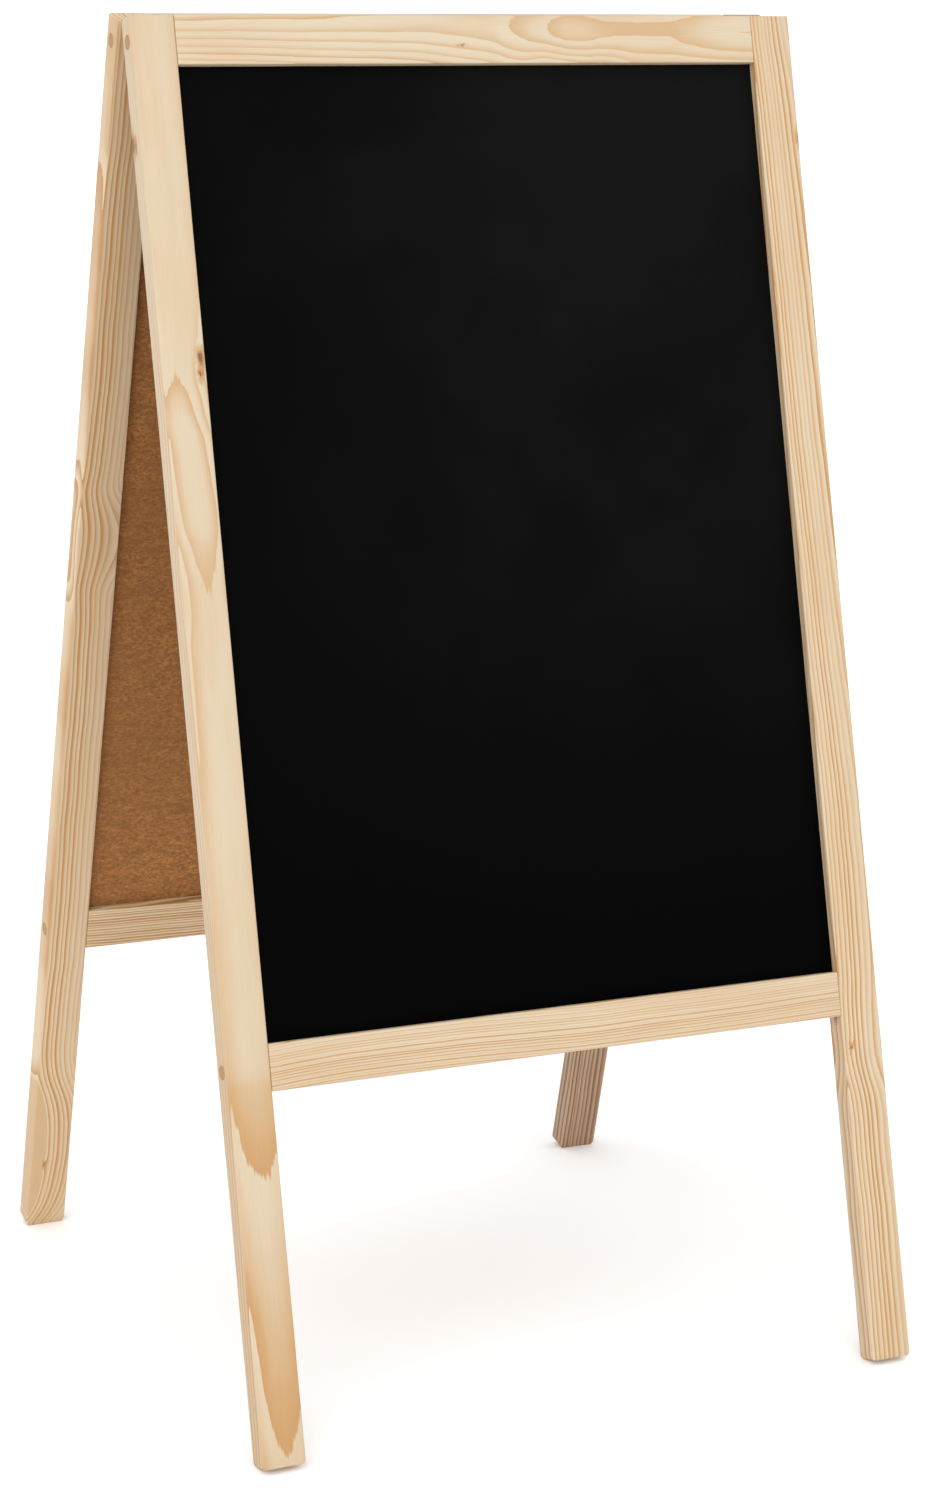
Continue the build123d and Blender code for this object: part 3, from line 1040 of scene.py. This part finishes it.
class BOARD_OT_dowels(bpy.types.Operator):
    """Add the dowels that join the rails to the stiles"""

    bl_idname = "board.dowels"
    bl_label = "Dowels"
    bl_options = {"REGISTER", "UNDO"}

    def execute(self, context):
        scene = context.scene
        wood = dowel_wood(scene.board_finishes)
        for which in FRAMES:
            for level in ("top", "bottom"):
                self.make(scene, which, level, wood)
        return {"FINISHED"}

    def make(self, scene, which, level, wood):
        """Makes the two dowels at the ends of one rail, as one piece."""
        dowels = scene.board_dowels
        name = f"{which}_{level}_dowels"
        low, high = upright_box(name, which)
        radius = (high.z - low.z) / 2
        run = dowel_length(which, level)
        y = (low.y + high.y) / 2
        z = (low.z + high.z) / 2
        pegs = []
        for side in (-1.0, 1.0):
            outer = side * (high.x - dowels.sunk)
            inner = side * (high.x - run)
            peg = rod("dowel", radius, outer, inner, y, z, dowels.sides)
            round_edges(peg, lambda e: not along(e, 0), dowels.edge, segments=2)
            pegs.append(peg)
        only(pegs[0])
        pegs[1].select_set(True)
        bpy.ops.object.join()
        piece = bpy.context.active_object
        piece.name = f"{which}_{level}_dowel_pair"
        piece.data.name = piece.name
        smooth(piece)
        stand(piece, which)
        piece.data.materials.append(wood)
        settle(piece, which, name)


class BOARD_OT_hinges(bpy.types.Operator):
    """Give the hinges, their pins and screws their plated finish"""

    bl_idname = "board.hinges"
    bl_label = "Hinges"
    bl_options = {"REGISTER", "UNDO"}

    def execute(self, context):
        colours = context.scene.board_finishes
        sheet = plated_steel("hinge zinc", colours, shade=1.0, roughness_low=0.34)
        bright = plated_steel("screw zinc", colours, shade=1.12, roughness_low=0.26)
        for name, node in frame["nodes"].items():
            if "hinge" not in name:
                continue
            finish = bright if "screws" in name or "pin" in name else sheet
            node.data.materials.clear()
            node.data.materials.append(finish)
        return {"FINISHED"}


class BOARD_OT_stage(bpy.types.Operator):
    """Add the pale floor, the soft lights and the camera"""

    bl_idname = "board.stage"
    bl_label = "Stage"
    bl_options = {"REGISTER", "UNDO"}

    def execute(self, context):
        stage = context.scene.board_stage
        self.floor(stage)
        self.light(context.scene, stage)
        self.camera(context.scene, stage)
        return {"FINISHED"}

    def floor(self, stage):
        """A round pale floor, with its middle under the board."""
        bpy.ops.object.select_all(action="DESELECT")
        bpy.ops.mesh.primitive_circle_add(vertices=96, radius=stage.floor_radius, fill_type="NGON")
        floor = bpy.context.active_object
        floor.name = "floor"
        material, graph = new_material("floor")
        point = graph.node("ShaderNodeTexCoord").outputs["Object"]
        speck = graph.noise(point, 3.0)
        pale = tuple(stage.floor)
        base = graph.mix(graph.spread(speck, 0.3, 0.7), pale, tone(pale, 0.995))
        shader = graph.node("ShaderNodeBsdfDiffuse", {"Color": base})
        graph.node("ShaderNodeOutputMaterial", {"Surface": shader.outputs[0]})
        floor.data.materials.append(material)

    def light(self, scene, stage):
        """White light from all round, a key light and a fill from the camera's side."""
        world = bpy.data.worlds.new("studio")
        world.use_nodes = True
        sky = world.node_tree.nodes["Background"]
        sky.inputs[0].default_value = (1.0, 1.0, 1.0, 1.0)
        sky.inputs[1].default_value = stage.sky
        scene.world = world
        self.sun("key", stage.key, stage.key_angle, stage.key_turn, stage.key_height)
        self.sun("fill", stage.fill, stage.fill_angle, stage.camera_pan, stage.fill_height)

    def sun(self, name, energy, softness, turn, height):
        """A soft light from far away, placed by its turn round the board and its height."""
        bpy.ops.object.light_add(type="SUN")
        lamp = bpy.context.active_object
        lamp.name = name
        lamp.data.energy = energy
        lamp.data.angle = softness
        turned = Matrix.Rotation(turn, 4, "Z")
        lamp.matrix_world = turned @ Matrix.Rotation(math.pi / 2 - height, 4, "X")

    def camera(self, scene, stage):
        """The camera, turned by its pan, then its tilt, then its roll."""
        bpy.ops.object.camera_add()
        camera = bpy.context.active_object
        camera.name = "camera"
        camera.data.lens = stage.camera_lens
        camera.data.sensor_fit = "AUTO"
        camera.data.clip_end = 200.0
        turn = Matrix.Rotation(stage.camera_pan, 4, "Z")
        turn = turn @ Matrix.Rotation(math.pi / 2 + stage.camera_tilt, 4, "X")
        turn = turn @ Matrix.Rotation(stage.camera_roll, 4, "Z")
        camera.matrix_world = Matrix.Translation(stage.camera_place) @ turn
        scene.camera = camera


# ---- panel and registration --------------------------------------------------------------

class BOARD_PT_panel(bpy.types.Panel):
    """Lists the board's pieces in the sidebar"""

    bl_idname = "BOARD_PT_panel"
    bl_label = "Sandwich board"
    bl_space_type = "VIEW_3D"
    bl_region_type = "UI"
    bl_category = "Sandwich board"

    def draw(self, context):
        for operator in OPERATORS:
            self.layout.operator(operator.bl_idname)
        for name in SETTINGS:
            group = getattr(context.scene, name)
            column = self.layout.column(align=True)
            for field in group.__annotations__:
                column.prop(group, field)


SETTINGS = {
    "board_laths": LathSettings,
    "board_panels": PanelSettings,
    "board_dowels": DowelSettings,
    "board_finishes": FinishSettings,
    "board_stage": StageSettings,
}
OPERATORS = (
    BOARD_OT_stage,
    BOARD_OT_stiles,
    BOARD_OT_rails,
    BOARD_OT_chalkboards,
    BOARD_OT_dowels,
    BOARD_OT_hinges,
)


def register():
    """Registers the settings, the operators and the panel."""
    for name, group in SETTINGS.items():
        bpy.utils.register_class(group)
        setattr(bpy.types.Scene, name, PointerProperty(type=group))
    for operator in OPERATORS:
        bpy.utils.register_class(operator)
    bpy.utils.register_class(BOARD_PT_panel)


def unregister():
    """Takes back what register did."""
    bpy.utils.unregister_class(BOARD_PT_panel)
    for operator in reversed(OPERATORS):
        bpy.utils.unregister_class(operator)
    for name, group in SETTINGS.items():
        delattr(bpy.types.Scene, name)
        bpy.utils.unregister_class(group)


def main():
    """Makes the board and its stage."""
    register()
    bpy.context.scene.view_settings.view_transform = "Standard"
    pine_years()
    bpy.ops.board.stage()
    bpy.ops.board.stiles()
    bpy.ops.board.rails()
    bpy.ops.board.chalkboards()
    bpy.ops.board.dowels()
    bpy.ops.board.hinges()


if __name__ == "__main__":
    main()
